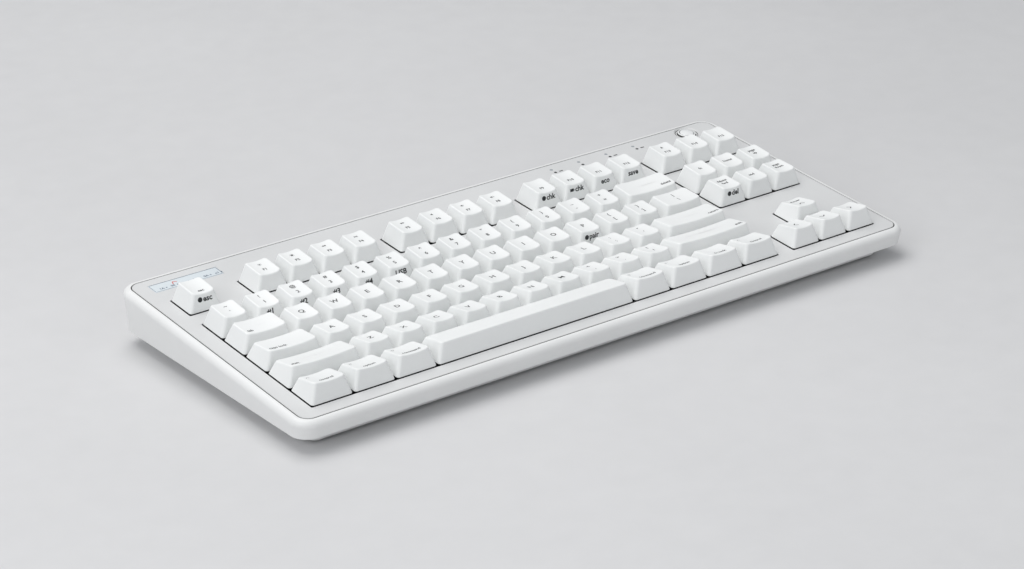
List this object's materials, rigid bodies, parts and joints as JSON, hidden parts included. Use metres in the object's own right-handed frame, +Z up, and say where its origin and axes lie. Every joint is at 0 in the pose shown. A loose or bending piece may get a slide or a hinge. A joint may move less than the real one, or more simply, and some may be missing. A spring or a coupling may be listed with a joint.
{
  "type": "mechanical keyboard",
  "caption": "Wedge-shaped tenkeyless mechanical keyboard: sprung keys on a plate, a silver panel in a white shell, flip-out feet and a battery bay",
  "frame": {"origin": "centre of the footprint, on the desk", "axes": "+X right along the rows of keys, +Y to the rear, +Z up"},
  "size_m": [0.379, 0.1632, 0.0384],
  "materials": {
    "shell_white": "fine moulded texture, satin",
    "panel_silver": "fine satin paint",
    "keycap_white": "lightly textured moulded plastic",
    "plate_steel": "zinc plated sheet",
    "board_green": "solder mask",
    "housing_black": "moulded nylon",
    "spring_steel": "drawn wire",
    "contact_brass": "stamped strip",
    "screw_steel": "zinc plated",
    "pad_rubber": "moulded rubber",
    "socket_steel": "folded sheet",
    "cell_wrap": "shrink sleeve",
    "badge_glass": "clear cover, pale tint",
    "button_white": "polished",
    "light_guide": "translucent"
  },
  "bodies": {
    "case": {"lower_case": "shell_white", "top_cover": "panel_silver", "mounting_plate": "plate_steel", "circuit_board": "board_green", "switch_bases": "housing_black", "switch_tops": "housing_black", "switch_springs": "spring_steel", "switch_contacts": "contact_brass", "stabiliser_housings": "housing_black", "controller_board": "board_green", "usb_socket": "socket_steel", "case_screws": "screw_steel", "rubber_pads": "pad_rubber", "tilt_foot_pins": "screw_steel", "battery_cells": "cell_wrap", "battery_contacts": "spring_steel", "badge_window": "badge_glass", "indicator_lights": "light_guide", "power_switch": "housing_black"},
    "esc_key": {"esc_key": "keycap_white"},
    "tab_key": {"tab_key": "keycap_white"},
    "backslash_key": {"backslash_key": "keycap_white"},
    "caps_lock_key": {"caps_lock_key": "keycap_white"},
    "left_control_key": {"left_control_key": "keycap_white"},
    "left_option_key": {"left_option_key": "keycap_white"},
    "left_command_key": {"left_command_key": "keycap_white"},
    "right_command_key": {"right_command_key": "keycap_white"},
    "right_option_key": {"right_option_key": "keycap_white"},
    "function_shift_key": {"function_shift_key": "keycap_white"},
    "right_control_key": {"right_control_key": "keycap_white"},
    "help_key": {"help_key": "keycap_white"},
    "home_key": {"home_key": "keycap_white"},
    "page_up_key": {"page_up_key": "keycap_white"},
    "forward_delete_key": {"forward_delete_key": "keycap_white"},
    "end_key": {"end_key": "keycap_white"},
    "page_down_key": {"page_down_key": "keycap_white"},
    "up_arrow_key": {"up_arrow_key": "keycap_white"},
    "left_arrow_key": {"left_arrow_key": "keycap_white"},
    "down_arrow_key": {"down_arrow_key": "keycap_white"},
    "right_arrow_key": {"right_arrow_key": "keycap_white"},
    "function_keys": {"function_keys": "keycap_white"},
    "f13_to_f15_keys": {"f13_to_f15_keys": "keycap_white"},
    "number_row_keys": {"number_row_keys": "keycap_white"},
    "upper_letter_keys": {"upper_letter_keys": "keycap_white"},
    "home_letter_keys": {"home_letter_keys": "keycap_white"},
    "lower_letter_keys": {"lower_letter_keys": "keycap_white"},
    "delete_key": {"delete_key": "keycap_white"},
    "return_key": {"return_key": "keycap_white"},
    "left_shift_key": {"left_shift_key": "keycap_white"},
    "right_shift_key": {"right_shift_key": "keycap_white"},
    "space_bar": {"space_bar": "keycap_white"},
    "delete_stabiliser_wire": {"delete_stabiliser_wire": "spring_steel"},
    "return_stabiliser_wire": {"return_stabiliser_wire": "spring_steel"},
    "left_shift_stabiliser_wire": {"left_shift_stabiliser_wire": "spring_steel"},
    "right_shift_stabiliser_wire": {"right_shift_stabiliser_wire": "spring_steel"},
    "space_stabiliser_wire": {"space_stabiliser_wire": "spring_steel"},
    "power_button": {"power_button": "button_white"},
    "tilt_foot_left": {"tilt_foot_left": "shell_white"},
    "tilt_foot_right": {"tilt_foot_right": "shell_white"},
    "battery_door": {"battery_door": "shell_white"}
  },
  "joints": [
    {"name": "esc_key_press", "type": "slide", "parent": "case", "child": "esc_key", "axis": [0, 0.0872, -0.9962], "range_m": [0, 0.004], "stiffness_N_per_m": 73.5, "springref_m": -0.004, "deforming": ["switch_springs"]},
    {"name": "tab_key_press", "type": "slide", "parent": "case", "child": "tab_key", "axis": [0, 0.0872, -0.9962], "range_m": [0, 0.004], "stiffness_N_per_m": 73.5, "springref_m": -0.004, "deforming": ["switch_springs"]},
    {"name": "backslash_key_press", "type": "slide", "parent": "case", "child": "backslash_key", "axis": [0, 0.0872, -0.9962], "range_m": [0, 0.004], "stiffness_N_per_m": 73.5, "springref_m": -0.004, "deforming": ["switch_springs"]},
    {"name": "caps_lock_key_press", "type": "slide", "parent": "case", "child": "caps_lock_key", "axis": [0, 0.0872, -0.9962], "range_m": [0, 0.004], "stiffness_N_per_m": 73.5, "springref_m": -0.004, "deforming": ["switch_springs"]},
    {"name": "left_control_key_press", "type": "slide", "parent": "case", "child": "left_control_key", "axis": [0, 0.0872, -0.9962], "range_m": [0, 0.004], "stiffness_N_per_m": 73.5, "springref_m": -0.004, "deforming": ["switch_springs"]},
    {"name": "left_option_key_press", "type": "slide", "parent": "case", "child": "left_option_key", "axis": [0, 0.0872, -0.9962], "range_m": [0, 0.004], "stiffness_N_per_m": 73.5, "springref_m": -0.004, "deforming": ["switch_springs"]},
    {"name": "left_command_key_press", "type": "slide", "parent": "case", "child": "left_command_key", "axis": [0, 0.0872, -0.9962], "range_m": [0, 0.004], "stiffness_N_per_m": 73.5, "springref_m": -0.004, "deforming": ["switch_springs"]},
    {"name": "right_command_key_press", "type": "slide", "parent": "case", "child": "right_command_key", "axis": [0, 0.0872, -0.9962], "range_m": [0, 0.004], "stiffness_N_per_m": 73.5, "springref_m": -0.004, "deforming": ["switch_springs"]},
    {"name": "right_option_key_press", "type": "slide", "parent": "case", "child": "right_option_key", "axis": [0, 0.0872, -0.9962], "range_m": [0, 0.004], "stiffness_N_per_m": 73.5, "springref_m": -0.004, "deforming": ["switch_springs"]},
    {"name": "function_shift_key_press", "type": "slide", "parent": "case", "child": "function_shift_key", "axis": [0, 0.0872, -0.9962], "range_m": [0, 0.004], "stiffness_N_per_m": 73.5, "springref_m": -0.004, "deforming": ["switch_springs"]},
    {"name": "right_control_key_press", "type": "slide", "parent": "case", "child": "right_control_key", "axis": [0, 0.0872, -0.9962], "range_m": [0, 0.004], "stiffness_N_per_m": 73.5, "springref_m": -0.004, "deforming": ["switch_springs"]},
    {"name": "help_key_press", "type": "slide", "parent": "case", "child": "help_key", "axis": [0, 0.0872, -0.9962], "range_m": [0, 0.004], "stiffness_N_per_m": 73.5, "springref_m": -0.004, "deforming": ["switch_springs"]},
    {"name": "home_key_press", "type": "slide", "parent": "case", "child": "home_key", "axis": [0, 0.0872, -0.9962], "range_m": [0, 0.004], "stiffness_N_per_m": 73.5, "springref_m": -0.004, "deforming": ["switch_springs"]},
    {"name": "page_up_key_press", "type": "slide", "parent": "case", "child": "page_up_key", "axis": [0, 0.0872, -0.9962], "range_m": [0, 0.004], "stiffness_N_per_m": 73.5, "springref_m": -0.004, "deforming": ["switch_springs"]},
    {"name": "forward_delete_key_press", "type": "slide", "parent": "case", "child": "forward_delete_key", "axis": [0, 0.0872, -0.9962], "range_m": [0, 0.004], "stiffness_N_per_m": 73.5, "springref_m": -0.004, "deforming": ["switch_springs"]},
    {"name": "end_key_press", "type": "slide", "parent": "case", "child": "end_key", "axis": [0, 0.0872, -0.9962], "range_m": [0, 0.004], "stiffness_N_per_m": 73.5, "springref_m": -0.004, "deforming": ["switch_springs"]},
    {"name": "page_down_key_press", "type": "slide", "parent": "case", "child": "page_down_key", "axis": [0, 0.0872, -0.9962], "range_m": [0, 0.004], "stiffness_N_per_m": 73.5, "springref_m": -0.004, "deforming": ["switch_springs"]},
    {"name": "up_arrow_key_press", "type": "slide", "parent": "case", "child": "up_arrow_key", "axis": [0, 0.0872, -0.9962], "range_m": [0, 0.004], "stiffness_N_per_m": 73.5, "springref_m": -0.004, "deforming": ["switch_springs"]},
    {"name": "left_arrow_key_press", "type": "slide", "parent": "case", "child": "left_arrow_key", "axis": [0, 0.0872, -0.9962], "range_m": [0, 0.004], "stiffness_N_per_m": 73.5, "springref_m": -0.004, "deforming": ["switch_springs"]},
    {"name": "down_arrow_key_press", "type": "slide", "parent": "case", "child": "down_arrow_key", "axis": [0, 0.0872, -0.9962], "range_m": [0, 0.004], "stiffness_N_per_m": 73.5, "springref_m": -0.004, "deforming": ["switch_springs"]},
    {"name": "right_arrow_key_press", "type": "slide", "parent": "case", "child": "right_arrow_key", "axis": [0, 0.0872, -0.9962], "range_m": [0, 0.004], "stiffness_N_per_m": 73.5, "springref_m": -0.004, "deforming": ["switch_springs"]},
    {"name": "function_keys_press", "type": "slide", "parent": "case", "child": "function_keys", "axis": [0, 0.0872, -0.9962], "range_m": [0, 0.004], "stiffness_N_per_m": 882, "springref_m": -0.004, "deforming": ["switch_springs"]},
    {"name": "f13_to_f15_keys_press", "type": "slide", "parent": "case", "child": "f13_to_f15_keys", "axis": [0, 0.0872, -0.9962], "range_m": [0, 0.004], "stiffness_N_per_m": 220.5, "springref_m": -0.004, "deforming": ["switch_springs"]},
    {"name": "number_row_keys_press", "type": "slide", "parent": "case", "child": "number_row_keys", "axis": [0, 0.0872, -0.9962], "range_m": [0, 0.004], "stiffness_N_per_m": 955.5, "springref_m": -0.004, "deforming": ["switch_springs"]},
    {"name": "upper_letter_keys_press", "type": "slide", "parent": "case", "child": "upper_letter_keys", "axis": [0, 0.0872, -0.9962], "range_m": [0, 0.004], "stiffness_N_per_m": 882, "springref_m": -0.004, "deforming": ["switch_springs"]},
    {"name": "home_letter_keys_press", "type": "slide", "parent": "case", "child": "home_letter_keys", "axis": [0, 0.0872, -0.9962], "range_m": [0, 0.004], "stiffness_N_per_m": 808.5, "springref_m": -0.004, "deforming": ["switch_springs"]},
    {"name": "lower_letter_keys_press", "type": "slide", "parent": "case", "child": "lower_letter_keys", "axis": [0, 0.0872, -0.9962], "range_m": [0, 0.004], "stiffness_N_per_m": 735, "springref_m": -0.004, "deforming": ["switch_springs"]},
    {"name": "delete_key_press", "type": "slide", "parent": "case", "child": "delete_key", "axis": [0, 0.0872, -0.9962], "range_m": [0, 0.004], "stiffness_N_per_m": 73.5, "springref_m": -0.004, "deforming": ["switch_springs"]},
    {"name": "return_key_press", "type": "slide", "parent": "case", "child": "return_key", "axis": [0, 0.0872, -0.9962], "range_m": [0, 0.004], "stiffness_N_per_m": 73.5, "springref_m": -0.004, "deforming": ["switch_springs"]},
    {"name": "left_shift_key_press", "type": "slide", "parent": "case", "child": "left_shift_key", "axis": [0, 0.0872, -0.9962], "range_m": [0, 0.004], "stiffness_N_per_m": 73.5, "springref_m": -0.004, "deforming": ["switch_springs"]},
    {"name": "right_shift_key_press", "type": "slide", "parent": "case", "child": "right_shift_key", "axis": [0, 0.0872, -0.9962], "range_m": [0, 0.004], "stiffness_N_per_m": 73.5, "springref_m": -0.004, "deforming": ["switch_springs"]},
    {"name": "space_bar_press", "type": "slide", "parent": "case", "child": "space_bar", "axis": [0, 0.0872, -0.9962], "range_m": [0, 0.004], "stiffness_N_per_m": 73.5, "springref_m": -0.004, "deforming": ["switch_springs"]},
    {"name": "delete_stabiliser_wire_turn", "type": "hinge", "parent": "case", "child": "delete_stabiliser_wire", "pos_m": [0.09049, 0.02536, 0.02062], "axis": [1, 0, 0], "range_deg": [0, 28.96]},
    {"name": "return_stabiliser_wire_turn", "type": "hinge", "parent": "case", "child": "return_stabiliser_wire", "pos_m": [0.08811, -0.01259, 0.0173], "axis": [1, 0, 0], "range_deg": [0, 28.96]},
    {"name": "left_shift_stabiliser_wire_turn", "type": "hinge", "parent": "case", "child": "left_shift_stabiliser_wire", "pos_m": [-0.15478, -0.03157, 0.01564], "axis": [1, 0, 0], "range_deg": [0, 28.96]},
    {"name": "right_shift_stabiliser_wire_turn", "type": "hinge", "parent": "case", "child": "right_shift_stabiliser_wire", "pos_m": [0.08334, -0.03157, 0.01564], "axis": [1, 0, 0], "range_deg": [0, 28.96]},
    {"name": "space_stabiliser_wire_turn", "type": "hinge", "parent": "case", "child": "space_stabiliser_wire", "pos_m": [-0.04524, -0.05055, 0.01398], "axis": [1, 0, 0], "range_deg": [0, 28.96]},
    {"name": "power_button_press", "type": "slide", "parent": "case", "child": "power_button", "axis": [0, 0.0872, -0.9962], "range_m": [0, 0.0008], "stiffness_N_per_m": 500, "springref_m": -0.002},
    {"name": "tilt_foot_left_fold", "type": "hinge", "parent": "case", "child": "tilt_foot_left", "pos_m": [-0.15, 0.0502, 0.0039], "axis": [-1, 0, 0], "range_deg": [0, 90]},
    {"name": "tilt_foot_right_fold", "type": "hinge", "parent": "case", "child": "tilt_foot_right", "pos_m": [0.15, 0.0502, 0.0039], "axis": [-1, 0, 0], "range_deg": [0, 90]},
    {"name": "battery_door_slide", "type": "slide", "parent": "case", "child": "battery_door", "axis": [0, 1, 0], "range_m": [0, 0.012]}
  ],
  "couplings": [
    {"joint": "delete_stabiliser_wire_turn", "follows": "delete_key_press", "rad_per_m": 126.34},
    {"joint": "return_stabiliser_wire_turn", "follows": "return_key_press", "rad_per_m": 126.34},
    {"joint": "left_shift_stabiliser_wire_turn", "follows": "left_shift_key_press", "rad_per_m": 126.34},
    {"joint": "right_shift_stabiliser_wire_turn", "follows": "right_shift_key_press", "rad_per_m": 126.34},
    {"joint": "space_stabiliser_wire_turn", "follows": "space_bar_press", "rad_per_m": 126.34}
  ]
}
